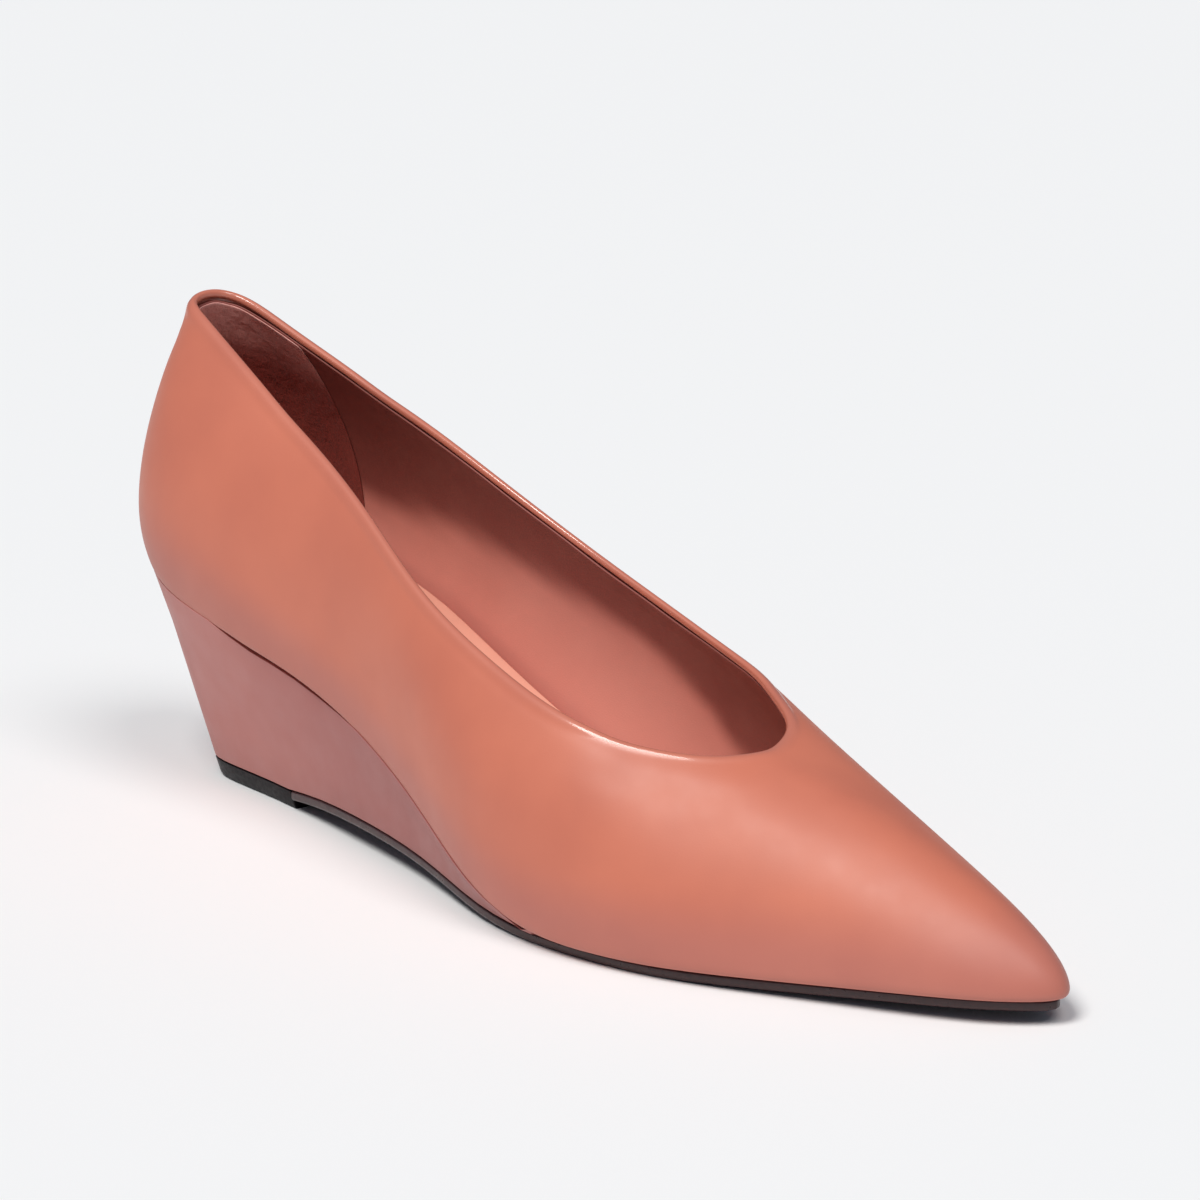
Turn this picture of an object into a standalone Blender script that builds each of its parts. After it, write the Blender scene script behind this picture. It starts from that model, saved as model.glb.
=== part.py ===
"""Right-foot wedge pump: a pointed leather pump whose sole rises at the heel on a covered wedge.

Metres, +Z up, +X towards the toe, -Y the outer side of the foot. The floor is Z = 0 and the
origin is the middle of the shoe on the floor.

Everything follows the last. Thirteen stations run from the heel back to the toe tip, and each
table below gives, for every station, both sides of one line of the shoe: the feather line (the
lower edge of the upper), the tread line (the edge of the sole) and the topline (the upper edge
of the collar). The upper is a ring of ribs that climb from the feather line to the topline.
"""

import math

import bmesh
import bpy
import numpy as np

# Driving sizes of the last and the upper
LAST_LENGTH = 0.261         # heel back to toe tip along the feather line, seen from above
SEAT_WIDTH = 0.048          # feather line across the heel seat
BALL_WIDTH = 0.070          # feather line across the joint of the foot
COLLAR_WIDTH = 0.0483       # topline across its widest place
BACK_HEIGHT = 0.0570        # topline above the feather line at the heel back
THROAT_HEIGHT = 0.0386      # topline above the feather line at the throat
UPPER_WALL = 0.0020         # leather, stiffener and lining together
FEATHER_RADIUS = 0.0012     # round edge where the leather turns under the last
LASTING_MARGIN = 0.0065     # width of leather turned in under the insole

# Driving sizes of the sole
HEEL_RISE = 0.0424          # height of the wedge at the heel back
ARCH_HEIGHT = 0.0026        # how far the waist is arched over the line from heel to joint
TOE_SPRING = 0.0026         # how far the sole lifts off the floor at the toe tip
SOLE_THICKNESS = 0.0021
TOP_PIECE_THICKNESS = 0.0042
TOP_PIECE_LENGTH = 0.0358
TOP_PIECE_TAPER = 0.0010    # how far its side leans in above the round edge
TOP_PIECE_EDGE = 0.0010     # round lower edge of the top piece
SOLE_EDGE = 0.0005          # small bevel along the lower edge of the sole
HEEL_BASE_WIDTH = 0.0285    # tread line across the top piece
HEEL_SETBACK = 0.0200       # top piece's back edge, in from the heel back
INSOLE_THICKNESS = 0.0025
INSOLE_EDGE = 0.0006        # bevel along the upper edge of the insole
WEDGE_INSET = 0.0007        # the wedge's upper edge lies this far in under the upper
WEDGE_THIN_END = 0.0005     # thickness at which the wedge stops under the joint
GAP = 0.0003                # clearance between pieces that meet

# Small turns of the wall and the edges, worked out from the sizes above
LINING_FOOT = 2.0 * UPPER_WALL      # height at which the lining turns in over the margin
MARGIN_START = 1.5 * UPPER_WALL     # where the turned-in margin begins, in from the feather line
EDGE_SHARE = 0.3            # middle row of a small round edge, as a share of its radius
ARCH_LEAN = 1.5             # over one, the arch's crown lies nearer the heel than the joint
CROWN_OUTWARD = 0.75        # way in which a rib is crowned: out of the last
CROWN_UPWARD = 0.65         # and up

# Flat rest under the joint, as shares of the last's length
BALL_REST_BACK = 0.605
BALL_REST_FRONT = 0.690

# Divisions of the faceted solids
RIBS_PER_STATION = 4
WALL_ROWS = 11
LINING_ROWS = 8
RIM_ROWS = 4
WEDGE_ROWS = 4
LINING_SAMPLES = 13         # heights at which the insole's edge is held clear of the lining
SHARP_ANGLE = math.radians(40.0)

# Colour and roughness of each piece
FINISHES = {
    "upper":     ((0.62, 0.21, 0.13), 0.42),
    "insole":    ((0.70, 0.27, 0.17), 0.50),
    "wedge":     ((0.52, 0.20, 0.16), 0.50),
    "outsole":   ((0.035, 0.016, 0.016), 0.45),
    "top_piece": ((0.020, 0.016, 0.018), 0.55),
}

# Feather line: along the last, half widths to the outer and the inner side, and the share of the
# heel's rise. At the toe tip the line has crossed to the inner side, so its outer half width is
# negative.
FEATHER_LINE = {
    "heel back":   (0.000 * LAST_LENGTH, 0.000 * SEAT_WIDTH, 0.000 * SEAT_WIDTH, 1.000),
    "seat turn":   (0.046 * LAST_LENGTH, 0.358 * SEAT_WIDTH, 0.368 * SEAT_WIDTH, 0.963),
    "seat":        (0.114 * LAST_LENGTH, 0.492 * SEAT_WIDTH, 0.489 * SEAT_WIDTH, 0.877),
    "heel":        (0.207 * LAST_LENGTH, 0.512 * SEAT_WIDTH, 0.490 * SEAT_WIDTH, 0.766),
    "rear waist":  (0.319 * LAST_LENGTH, 0.496 * SEAT_WIDTH, 0.426 * SEAT_WIDTH, 0.540),
    "waist":       (0.432 * LAST_LENGTH, 0.394 * BALL_WIDTH, 0.292 * BALL_WIDTH, 0.295),
    "rear joint":  (0.533 * LAST_LENGTH, 0.492 * BALL_WIDTH, 0.368 * BALL_WIDTH, 0.114),
    "joint":       (0.622 * LAST_LENGTH, 0.507 * BALL_WIDTH, 0.475 * BALL_WIDTH, 0.010),
    "vamp":        (0.723 * LAST_LENGTH, 0.434 * BALL_WIDTH, 0.504 * BALL_WIDTH, 0.000),
    "toe side":    (0.828 * LAST_LENGTH, 0.263 * BALL_WIDTH, 0.442 * BALL_WIDTH, 0.000),
    "toe point":   (0.928 * LAST_LENGTH, 0.083 * BALL_WIDTH, 0.344 * BALL_WIDTH, 0.000),
    "tip turn":    (0.979 * LAST_LENGTH, -0.048 * BALL_WIDTH, 0.268 * BALL_WIDTH, 0.000),
    "toe tip":     (1.000 * LAST_LENGTH, -0.177 * BALL_WIDTH, 0.177 * BALL_WIDTH, 0.000),
}

# Tread line: along the last, and half widths to the outer and the inner side.
TREAD_LINE = {
    "heel back":   (1.000 * HEEL_SETBACK, 0.000 * HEEL_BASE_WIDTH, 0.000 * HEEL_BASE_WIDTH),
    "seat turn":   (1.150 * HEEL_SETBACK, 0.330 * HEEL_BASE_WIDTH, 0.330 * HEEL_BASE_WIDTH),
    "seat":        (0.127 * LAST_LENGTH, 0.442 * HEEL_BASE_WIDTH, 0.440 * HEEL_BASE_WIDTH),
    "heel":        (0.211 * LAST_LENGTH, 0.508 * HEEL_BASE_WIDTH, 0.492 * HEEL_BASE_WIDTH),
    "rear waist":  (0.322 * LAST_LENGTH, 0.408 * SEAT_WIDTH, 0.333 * SEAT_WIDTH),
    "waist":       (0.432 * LAST_LENGTH, 0.357 * BALL_WIDTH, 0.259 * BALL_WIDTH),
    "rear joint":  (0.533 * LAST_LENGTH, 0.451 * BALL_WIDTH, 0.331 * BALL_WIDTH),
    "joint":       (0.622 * LAST_LENGTH, 0.468 * BALL_WIDTH, 0.437 * BALL_WIDTH),
    "vamp":        (0.722 * LAST_LENGTH, 0.404 * BALL_WIDTH, 0.468 * BALL_WIDTH),
    "toe side":    (0.826 * LAST_LENGTH, 0.232 * BALL_WIDTH, 0.408 * BALL_WIDTH),
    "toe point":   (0.924 * LAST_LENGTH, 0.050 * BALL_WIDTH, 0.312 * BALL_WIDTH),
    "tip turn":    (0.972 * LAST_LENGTH, -0.076 * BALL_WIDTH, 0.245 * BALL_WIDTH),
    "toe tip":     (0.992 * LAST_LENGTH, -0.180 * BALL_WIDTH, 0.180 * BALL_WIDTH),
}

# Topline: along the last, half widths, and on each side the share of the way up from the throat's
# height to the back's, both measured from the feather line below.
TOPLINE = {
    "heel back":   (0.038 * LAST_LENGTH, 0.000 * COLLAR_WIDTH, 0.000 * COLLAR_WIDTH, 1.000, 1.000),
    "seat turn":   (0.049 * LAST_LENGTH, 0.125 * COLLAR_WIDTH, 0.124 * COLLAR_WIDTH, 0.970, 0.966),
    "seat":        (0.099 * LAST_LENGTH, 0.181 * COLLAR_WIDTH, 0.179 * COLLAR_WIDTH, 0.890, 0.882),
    "heel":        (0.208 * LAST_LENGTH, 0.272 * COLLAR_WIDTH, 0.254 * COLLAR_WIDTH, 0.575, 0.612),
    "rear waist":  (0.324 * LAST_LENGTH, 0.374 * COLLAR_WIDTH, 0.332 * COLLAR_WIDTH, 0.350, 0.437),
    "waist":       (0.421 * LAST_LENGTH, 0.480 * COLLAR_WIDTH, 0.422 * COLLAR_WIDTH, 0.225, 0.355),
    "rear joint":  (0.513 * LAST_LENGTH, 0.519 * COLLAR_WIDTH, 0.464 * COLLAR_WIDTH, 0.235, 0.385),
    "joint":       (0.583 * LAST_LENGTH, 0.524 * COLLAR_WIDTH, 0.476 * COLLAR_WIDTH, 0.255, 0.380),
    "vamp":        (0.624 * LAST_LENGTH, 0.480 * COLLAR_WIDTH, 0.447 * COLLAR_WIDTH, 0.185, 0.330),
    "toe side":    (0.658 * LAST_LENGTH, 0.394 * COLLAR_WIDTH, 0.374 * COLLAR_WIDTH, 0.070, 0.245),
    "toe point":   (0.696 * LAST_LENGTH, 0.258 * COLLAR_WIDTH, 0.264 * COLLAR_WIDTH, 0.005, 0.125),
    "tip turn":    (0.716 * LAST_LENGTH, 0.124 * COLLAR_WIDTH, 0.127 * COLLAR_WIDTH, -0.005, 0.040),
    "toe tip":     (0.723 * LAST_LENGTH, 0.000 * COLLAR_WIDTH, 0.000 * COLLAR_WIDTH, 0.000, 0.000),
}

# Shape of the ribs, in shares of each rib's own chord: how far the wall swells out over the
# feather line, how far it climbs before it turns in, and how far its upper half is crowned.
RIB_SHAPE = {
    "heel back":   (0.122, 0.207, 0.020),
    "seat turn":   (0.117, 0.212, 0.042),
    "seat":        (0.095, 0.270, 0.066),
    "heel":        (0.079, 0.345, 0.078),
    "rear waist":  (0.074, 0.385, 0.068),
    "waist":       (0.083, 0.392, 0.072),
    "rear joint":  (0.081, 0.322, 0.098),
    "joint":       (0.057, 0.248, 0.108),
    "vamp":        (0.035, 0.172, 0.088),
    "toe side":    (0.024, 0.122, 0.064),
    "toe point":   (0.020, 0.095, 0.049),
    "tip turn":    (0.021, 0.106, 0.046),
    "toe tip":     (0.022, 0.118, 0.050),
}

LAST_STATION = len(FEATHER_LINE) - 1


def curve(values, crossing=False):
    """Cubic spline through one value per station, as a function of the station number.

    Both sides of the shoe meet at the heel back and the toe tip. A length or a height runs level
    there, and a width (crossing) goes through without bending. With slope=True the function gives
    the rate of change per station.
    """
    knots = np.asarray(values, dtype=float)
    count = len(knots)
    matrix = 4.0 * np.eye(count) + np.eye(count, k=1) + np.eye(count, k=-1)
    target = np.zeros(count)
    target[1:-1] = 3.0 * (knots[2:] - knots[:-2])
    if crossing:
        matrix[0, :2] = (2.0, 1.0)
        matrix[-1, -2:] = (1.0, 2.0)
        target[0] = 3.0 * (knots[1] - knots[0])
        target[-1] = 3.0 * (knots[-1] - knots[-2])
    else:
        matrix[0, :2] = (1.0, 0.0)
        matrix[-1, -2:] = (0.0, 1.0)
    slopes = np.linalg.solve(matrix, target)

    def value(station, slope=False):
        number = np.clip(np.asarray(station, dtype=float), 0.0, count - 1.0)
        low = np.minimum(number.astype(int), count - 2)
        part = number - low
        start, end = knots[low], knots[low + 1]
        leave, arrive = slopes[low], slopes[low + 1]
        if slope:
            return (6 * (part ** 2 - part) * (start - end) + (3 * part ** 2 - 4 * part + 1) * leave
                    + (3 * part ** 2 - 2 * part) * arrive)
        return ((2 * part ** 3 - 3 * part ** 2 + 1) * start + (part ** 3 - 2 * part ** 2 + part) * leave
                + (3 * part ** 2 - 2 * part ** 3) * end + (part ** 3 - part ** 2) * arrive)

    return value


def column(table, number, crossing=False):
    """Spline through one column of a station table."""
    return curve([row[number] for row in table.values()], crossing)


def plan_line(table):
    """The three splines that draw a line of the shoe in plan."""
    return {"along": column(table, 0),
            "outer": column(table, 1, crossing=True),
            "inner": column(table, 2, crossing=True)}


FEATHER_PLAN = plan_line(FEATHER_LINE)
TREAD_PLAN = plan_line(TREAD_LINE)
TOPLINE_PLAN = plan_line(TOPLINE)


def side_points(plan, stations, side, inset=0.0):
    """Plan points and outward normals of one side of a line, moved inwards by inset."""
    sign = -1.0 if side == "outer" else 1.0
    points = np.stack([plan["along"](stations), sign * plan[side](stations)], axis=1)
    ahead = plan["along"](stations, slope=True)
    sideways = plan[side](stations, slope=True)
    normals = np.stack([-sideways, sign * ahead], axis=1)
    normals /= np.linalg.norm(normals, axis=1)[:, None]
    return points - normals * np.reshape(inset, (-1, 1)), normals


def around(outer, inner):
    """One closed ring of rows: out along the outer side to the toe and back on the inner side."""
    return np.concatenate([outer, inner[-2:0:-1]])


def ring_stations():
    """Station numbers of the ribs on one side."""
    return np.linspace(0.0, LAST_STATION, LAST_STATION * RIBS_PER_STATION + 1)


def closed_line(plan, inset=0.0):
    """Plan points and normals all the way round a line; inset may be one value per rib."""
    stations = ring_stations()
    half = len(stations)
    insets = np.broadcast_to(inset, (2 * half - 2,))
    outer_inset = insets[:half]
    inner_inset = np.concatenate([insets[:1], insets[half:][::-1], insets[half - 1:half]])
    outer_points, outer_normals = side_points(plan, stations, "outer", outer_inset)
    inner_points, inner_normals = side_points(plan, stations, "inner", inner_inset)
    return around(outer_points, inner_points), around(outer_normals, inner_normals)


def ease(part):
    """Smooth step from 0 to 1."""
    part = np.clip(part, 0.0, 1.0)
    return part * part * (3.0 - 2.0 * part)


def breast():
    """Where the top piece ends and the sole begins."""
    return HEEL_SETBACK + TOP_PIECE_LENGTH


def tread_height(along):
    """Underside of the sole: level with the top piece's seat, arched, flat at the joint, sprung."""
    rest_back = BALL_REST_BACK * LAST_LENGTH
    rest_front = BALL_REST_FRONT * LAST_LENGTH
    waist = np.clip((along - breast()) / (rest_back - breast()), 0.0, 1.0)
    heel_level = (TOP_PIECE_THICKNESS - SOLE_THICKNESS) * (1.0 - ease(waist))
    crown = 1.0 / (1.0 + ARCH_LEAN)
    arch = ARCH_HEIGHT * waist * (1.0 - waist) ** ARCH_LEAN / (crown * (1.0 - crown) ** ARCH_LEAN)
    spring = TOE_SPRING * ease((along - rest_front) / (LAST_LENGTH - rest_front))
    return heel_level + arch + spring


def sole_top(along):
    """Upper face of the sole, and of the top piece behind it."""
    return tread_height(along) + SOLE_THICKNESS


def wedge_rise(along):
    """Height that the wedge and its clearance add between the sole and the upper."""
    fine = np.linspace(0.0, LAST_STATION, 40 * LAST_STATION + 1)
    shares = np.maximum(column(FEATHER_LINE, 3)(fine), 0.0)
    return HEEL_RISE * np.interp(along, FEATHER_PLAN["along"](fine), shares)


def feather_height(along):
    """Underside of the upper."""
    return sole_top(along) + GAP + wedge_rise(along)


def unit(vectors):
    """Vectors of length one, along the last axis."""
    return vectors / np.linalg.norm(vectors, axis=-1, keepdims=True)


def rib_frame():
    """Foot, two handles and top of every rib's Bezier curve, and the plan normal at its foot."""
    stations = ring_stations()
    foot_plan, normals = closed_line(FEATHER_PLAN)
    top_plan, _ = closed_line(TOPLINE_PLAN)
    shares = around(column(TOPLINE, 3)(stations), column(TOPLINE, 4)(stations))
    top_height = (feather_height(top_plan[:, 0]) + THROAT_HEIGHT
                  + (BACK_HEIGHT - THROAT_HEIGHT) * shares)
    foot = np.column_stack([foot_plan, feather_height(foot_plan[:, 0])])
    top = np.column_stack([top_plan, top_height])
    outward = np.column_stack([normals, np.zeros(len(normals))])
    upward = np.array([0.0, 0.0, 1.0])
    chord = np.linalg.norm(top - foot, axis=1, keepdims=True)
    swell, climb, crown = (around(*[column(RIB_SHAPE, n)(stations)[:, None]] * 2) for n in range(3))
    low_handle = foot + chord * (swell * outward + climb * upward)
    along_rib = unit(top - low_handle)
    crowning = CROWN_OUTWARD * outward + CROWN_UPWARD * upward
    crowning -= np.sum(crowning * along_rib, axis=1, keepdims=True) * along_rib
    high_handle = 0.5 * (low_handle + top) + chord * crown * unit(crowning)
    rim = unit(top - high_handle)
    return foot, low_handle, high_handle, top - 0.5 * UPPER_WALL * rim, outward


def rib_point(frame, share):
    """Points on the ribs at a share of the way up, one share per rib."""
    foot, low_handle, high_handle, top, _ = frame
    up = np.reshape(share, (-1, 1))
    down = 1.0 - up
    return (down ** 3 * foot + 3 * down ** 2 * up * low_handle
            + 3 * down * up ** 2 * high_handle + up ** 3 * top)


def rib_direction(frame, share):
    """Direction up each rib."""
    foot, low_handle, high_handle, top, _ = frame
    up = np.reshape(share, (-1, 1))
    down = 1.0 - up
    return unit(down ** 2 * (low_handle - foot) + 2 * down * up * (high_handle - low_handle)
                + up ** 2 * (top - high_handle))


def wall_normal(frame, share):
    """Outward normal of the upper's surface on each rib."""
    points = rib_point(frame, share)
    along_ring = np.roll(points, -1, axis=0) - np.roll(points, 1, axis=0)
    return unit(np.cross(along_ring, rib_direction(frame, share)))


def upper_rings():
    """Rings of the upper's closed wall: up the outside, over the rim, down the lining, turned in."""
    frame = rib_frame()
    foot, low_handle, _, top, outward = frame
    count = len(foot)
    chord = np.linalg.norm(top - foot, axis=1)
    climb = low_handle[:, 2] - foot[:, 2]
    rings = []

    edge_share = FEATHER_RADIUS / (3.0 * climb)
    for row in range(WALL_ROWS + 1):
        rings.append(rib_point(frame, edge_share + (1.0 - edge_share) * row / WALL_ROWS))

    whole = np.ones(count)
    normal = wall_normal(frame, whole)
    direction = rib_direction(frame, whole)
    middle = top - 0.5 * UPPER_WALL * normal
    for row in range(1, RIM_ROWS):
        angle = math.pi * row / RIM_ROWS
        rings.append(middle + 0.5 * UPPER_WALL * (math.cos(angle) * normal + math.sin(angle) * direction))

    lining_foot = LINING_FOOT / (3.0 * climb)
    for row in range(LINING_ROWS + 1):
        share = 1.0 - (1.0 - lining_foot) * row / LINING_ROWS
        rings.append(rib_point(frame, share) - UPPER_WALL * wall_normal(frame, share))

    rings.append(on_feather(foot - MARGIN_START * outward, UPPER_WALL))
    rings.append(on_feather(foot - LASTING_MARGIN * outward, UPPER_WALL))
    rings.append(on_feather(foot - LASTING_MARGIN * outward, 0.0))
    rings.append(on_feather(foot - FEATHER_RADIUS * outward, 0.0))
    rings.append(on_feather(foot - EDGE_SHARE * FEATHER_RADIUS * outward, EDGE_SHARE * FEATHER_RADIUS))
    return rings


def on_feather(points, height):
    """The same plan points at a height over the feather surface."""
    lifted = points.copy()
    lifted[:, 2] = feather_height(points[:, 0]) + height
    return lifted


def extrude_ring(bm, ring, points):
    """Extrude a closed ring of vertices and set the new ring on the points."""
    edges = [bm.edges.get((a, b)) for a, b in zip(ring, ring[1:] + ring[:1])]
    made = bmesh.ops.extrude_edge_only(bm, edges=edges)["geom"]
    fresh = {item for item in made if isinstance(item, bmesh.types.BMVert)}
    extruded = []
    for vert, point in zip(ring, points):
        twin = next(edge.other_vert(vert) for edge in vert.link_edges if edge.other_vert(vert) in fresh)
        twin.co = point
        extruded.append(twin)
    return extruded


def first_ring(bm, points):
    """A closed ring of vertices and edges on the points."""
    ring = [bm.verts.new(point) for point in points]
    for a, b in zip(ring, ring[1:] + ring[:1]):
        bm.edges.new((a, b))
    return ring


def cap(bm, ring, rungs):
    """Close a ring with strips across it; rungs are pairs of ring positions, outer and inner."""
    for (outer_a, inner_a), (outer_b, inner_b) in zip(rungs, rungs[1:]):
        corners = [ring[place] for place in (outer_a, outer_b, inner_b, inner_a)]
        bm.faces.new(list(dict.fromkeys(corners)))


def finish(bm, name):
    """Turn the mesh into a smooth shaded object with its own material."""
    colour, roughness = FINISHES[name]
    bmesh.ops.recalc_face_normals(bm, faces=bm.faces)
    mesh = bpy.data.meshes.new(name)
    bm.to_mesh(mesh)
    bm.free()
    mesh.shade_smooth()
    mesh.set_sharp_from_angle(angle=SHARP_ANGLE)
    material = bpy.data.materials.new(name)
    material.use_nodes = True
    surface = material.node_tree.nodes["Principled BSDF"]
    surface.inputs["Base Color"].default_value = (*colour, 1.0)
    surface.inputs["Roughness"].default_value = roughness
    surface.inputs["Metallic"].default_value = 0.0
    mesh.materials.append(material)
    piece = bpy.data.objects.new(name, mesh)
    bpy.context.collection.objects.link(piece)
    return piece


def stack(name, rings, rungs):
    """A solid from a stack of like rings, capped below and above."""
    bm = bmesh.new()
    ring = first_ring(bm, rings[0])
    cap(bm, ring, rungs)
    for points in rings[1:]:
        ring = extrude_ring(bm, ring, points)
    cap(bm, ring, rungs)
    return finish(bm, name)


def stretch(start, end):
    """Station numbers from start to end, on the ribs in between."""
    ribs = ring_stations()
    nearest = 0.2 / RIBS_PER_STATION
    between = ribs[(ribs > start + nearest) & (ribs < end - nearest)]
    return np.concatenate([[start], between, [end]])


def part_ring(outer, inner, start, end):
    """One ring from two sides whose ends meet where the stretch reaches the heel or the toe."""
    first = 1 if start == 0.0 else 0
    last = len(inner) - 1 if end == LAST_STATION else len(inner)
    return np.concatenate([outer, inner[first:last][::-1]])


def part_rungs(count, start, end):
    """Pairs of places in a part_ring that face each other across the shoe."""
    first = 1 if start == 0.0 else 0
    last = count - 1 if end == LAST_STATION else count
    size = count + last - first
    rungs = []
    for place in range(count):
        across = size - 1 - (place - first)
        rungs.append((place, across if first <= place < last else place))
    return rungs


def station_at(plan, along):
    """Station number at which a line reaches a length."""
    fine = np.linspace(0.0, LAST_STATION, 100 * LAST_STATION + 1)
    return float(np.interp(along, plan["along"](fine), fine))


def level_ring(plan, start, end, inset, height):
    """A ring of a plate: both sides of a line between two stations, at a height over each point."""
    stations = stretch(start, end)
    outer, _ = side_points(plan, stations, "outer", inset)
    inner, _ = side_points(plan, stations, "inner", inset)
    ring = part_ring(outer, inner, start, end)
    return np.column_stack([ring, height(ring[:, 0])])


def make_upper():
    """The hollow upper, open at the collar and underneath."""
    rings = upper_rings()
    bm = bmesh.new()
    ring = first_ring(bm, rings[0])
    for points in rings[1:] + rings[:1]:
        ring = extrude_ring(bm, ring, points)
    bmesh.ops.remove_doubles(bm, verts=bm.verts, dist=0.00001)
    return finish(bm, "upper")


def insole_inset():
    """How far in from the feather line the insole's edge lies, so that it clears the lining."""
    frame = rib_frame()
    foot, low_handle, _, _, outward = frame
    climb = low_handle[:, 2] - foot[:, 2]
    low, high = UPPER_WALL + GAP, UPPER_WALL + GAP + INSOLE_THICKNESS
    inset = np.full(len(foot), MARGIN_START)
    for step in np.linspace(0.0, 1.0, LINING_SAMPLES):
        share = (LINING_FOOT + step * 2.0 * high) / (3.0 * climb)
        wall = rib_point(frame, share) - UPPER_WALL * wall_normal(frame, share)
        over = wall[:, 2] - feather_height(wall[:, 0])
        inward = np.sum((foot - wall) * outward, axis=1)
        inset = np.where((over > low) & (over < high + UPPER_WALL), np.maximum(inset, inward), inset)
    return inset + GAP


def make_insole():
    """Board and sock in one, on the turned-in margin of the upper."""
    inset = insole_inset()
    low = UPPER_WALL + GAP
    rings = []
    for extra, height in ((0.0, low), (0.0, low + INSOLE_THICKNESS - INSOLE_EDGE),
                          (INSOLE_EDGE, low + INSOLE_THICKNESS)):
        plan, _ = closed_line(FEATHER_PLAN, inset + extra)
        rings.append(np.column_stack([plan, feather_height(plan[:, 0]) + height]))
    rungs = part_rungs(len(ring_stations()), 0.0, LAST_STATION)
    return stack("insole", rings, rungs)


def wedge_front():
    """Station number at which the wedge has thinned to its end."""
    fine = np.linspace(0.0, LAST_STATION, 100 * LAST_STATION + 1)
    thickness = wedge_rise(FEATHER_PLAN["along"](fine)) - GAP
    return float(fine[np.argmax(thickness < WEDGE_THIN_END)])


def make_wedge():
    """The covered wedge: straight sides from the sole's edge up to the feather line."""
    end = wedge_front()
    bottom = level_ring(TREAD_PLAN, 0.0, end, 0.0, lambda along: sole_top(along) + GAP)
    top = level_ring(FEATHER_PLAN, 0.0, end, WEDGE_INSET, lambda along: feather_height(along) - GAP)
    rings = [bottom + (top - bottom) * row / WEDGE_ROWS for row in range(WEDGE_ROWS + 1)]
    rungs = part_rungs(len(stretch(0.0, end)), 0.0, end)
    return stack("wedge", rings, rungs)


def make_outsole():
    """Thin sole from the top piece to the toe, following the arch and the toe spring."""
    start = station_at(TREAD_PLAN, breast() + GAP)
    end = float(LAST_STATION)
    rings = [
        level_ring(TREAD_PLAN, start, end, SOLE_EDGE, tread_height),
        level_ring(TREAD_PLAN, start, end, 0.0, lambda along: tread_height(along) + SOLE_EDGE),
        level_ring(TREAD_PLAN, start, end, 0.0, sole_top),
    ]
    rungs = part_rungs(len(stretch(start, end)), start, end)
    return stack("outsole", rings, rungs)


def make_top_piece():
    """Heel rest under the wedge, with a round lower edge and a straight front."""
    end = station_at(TREAD_PLAN, breast())
    low_inset = TOP_PIECE_TAPER + TOP_PIECE_EDGE
    rings = []
    for inset, height in ((low_inset, 0.0),
                          (TOP_PIECE_TAPER + EDGE_SHARE * TOP_PIECE_EDGE, EDGE_SHARE * TOP_PIECE_EDGE),
                          (TOP_PIECE_TAPER, TOP_PIECE_EDGE),
                          (0.0, TOP_PIECE_THICKNESS)):
        rings.append(level_ring(TREAD_PLAN, 0.0, end, inset, lambda along: np.full(len(along), height)))
    rungs = part_rungs(len(stretch(0.0, end)), 0.0, end)
    return stack("top_piece", rings, rungs)


def clear_scene():
    """Remove what the file opened with."""
    for old in list(bpy.data.objects):
        bpy.data.objects.remove(old, do_unlink=True)


def main():
    """Build the pieces and set the shoe's middle over the origin."""
    clear_scene()
    pieces = [make_upper(), make_insole(), make_wedge(), make_outsole(), make_top_piece()]
    corners = np.array([vert.co[:2] for piece in pieces for vert in piece.data.vertices])
    middle = 0.5 * (corners.min(axis=0) + corners.max(axis=0))
    shoe = bpy.data.objects.new("shoe", None)
    shoe.location = (-middle[0], -middle[1], 0.0)
    bpy.context.collection.objects.link(shoe)
    for piece in pieces:
        piece.parent = shoe


main()
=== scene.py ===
"""The looks of a right-foot wedge pump in smooth terracotta leather.

Metres, +Z up, +X towards the toe, -Y the outer side of the foot, which faces the camera.
"""

import heapq
import math

import bmesh
import bpy
import numpy as np
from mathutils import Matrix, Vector


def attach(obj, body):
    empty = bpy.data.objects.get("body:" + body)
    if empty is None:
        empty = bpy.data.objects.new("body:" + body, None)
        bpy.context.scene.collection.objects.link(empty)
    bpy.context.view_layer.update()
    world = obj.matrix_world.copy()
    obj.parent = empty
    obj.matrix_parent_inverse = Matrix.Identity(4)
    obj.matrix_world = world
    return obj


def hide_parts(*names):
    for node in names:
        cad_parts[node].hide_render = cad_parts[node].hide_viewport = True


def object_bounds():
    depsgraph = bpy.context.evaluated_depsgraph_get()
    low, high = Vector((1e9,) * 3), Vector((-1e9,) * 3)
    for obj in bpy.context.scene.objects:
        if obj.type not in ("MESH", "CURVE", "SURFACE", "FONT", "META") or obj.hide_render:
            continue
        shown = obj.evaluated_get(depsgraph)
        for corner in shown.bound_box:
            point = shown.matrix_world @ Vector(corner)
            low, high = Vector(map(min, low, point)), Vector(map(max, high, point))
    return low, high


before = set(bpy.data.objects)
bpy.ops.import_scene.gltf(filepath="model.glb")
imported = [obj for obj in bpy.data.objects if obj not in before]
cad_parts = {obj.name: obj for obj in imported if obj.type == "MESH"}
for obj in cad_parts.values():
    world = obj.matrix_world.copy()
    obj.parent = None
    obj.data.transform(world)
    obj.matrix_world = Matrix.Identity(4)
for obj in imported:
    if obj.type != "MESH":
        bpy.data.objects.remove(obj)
CAD_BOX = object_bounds()

# The shoe's own sizes, read from the CAD model's bounds
HEEL_X = CAD_BOX[0].x
TOE_X = CAD_BOX[1].x
SHOE_LENGTH = TOE_X - HEEL_X

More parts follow.
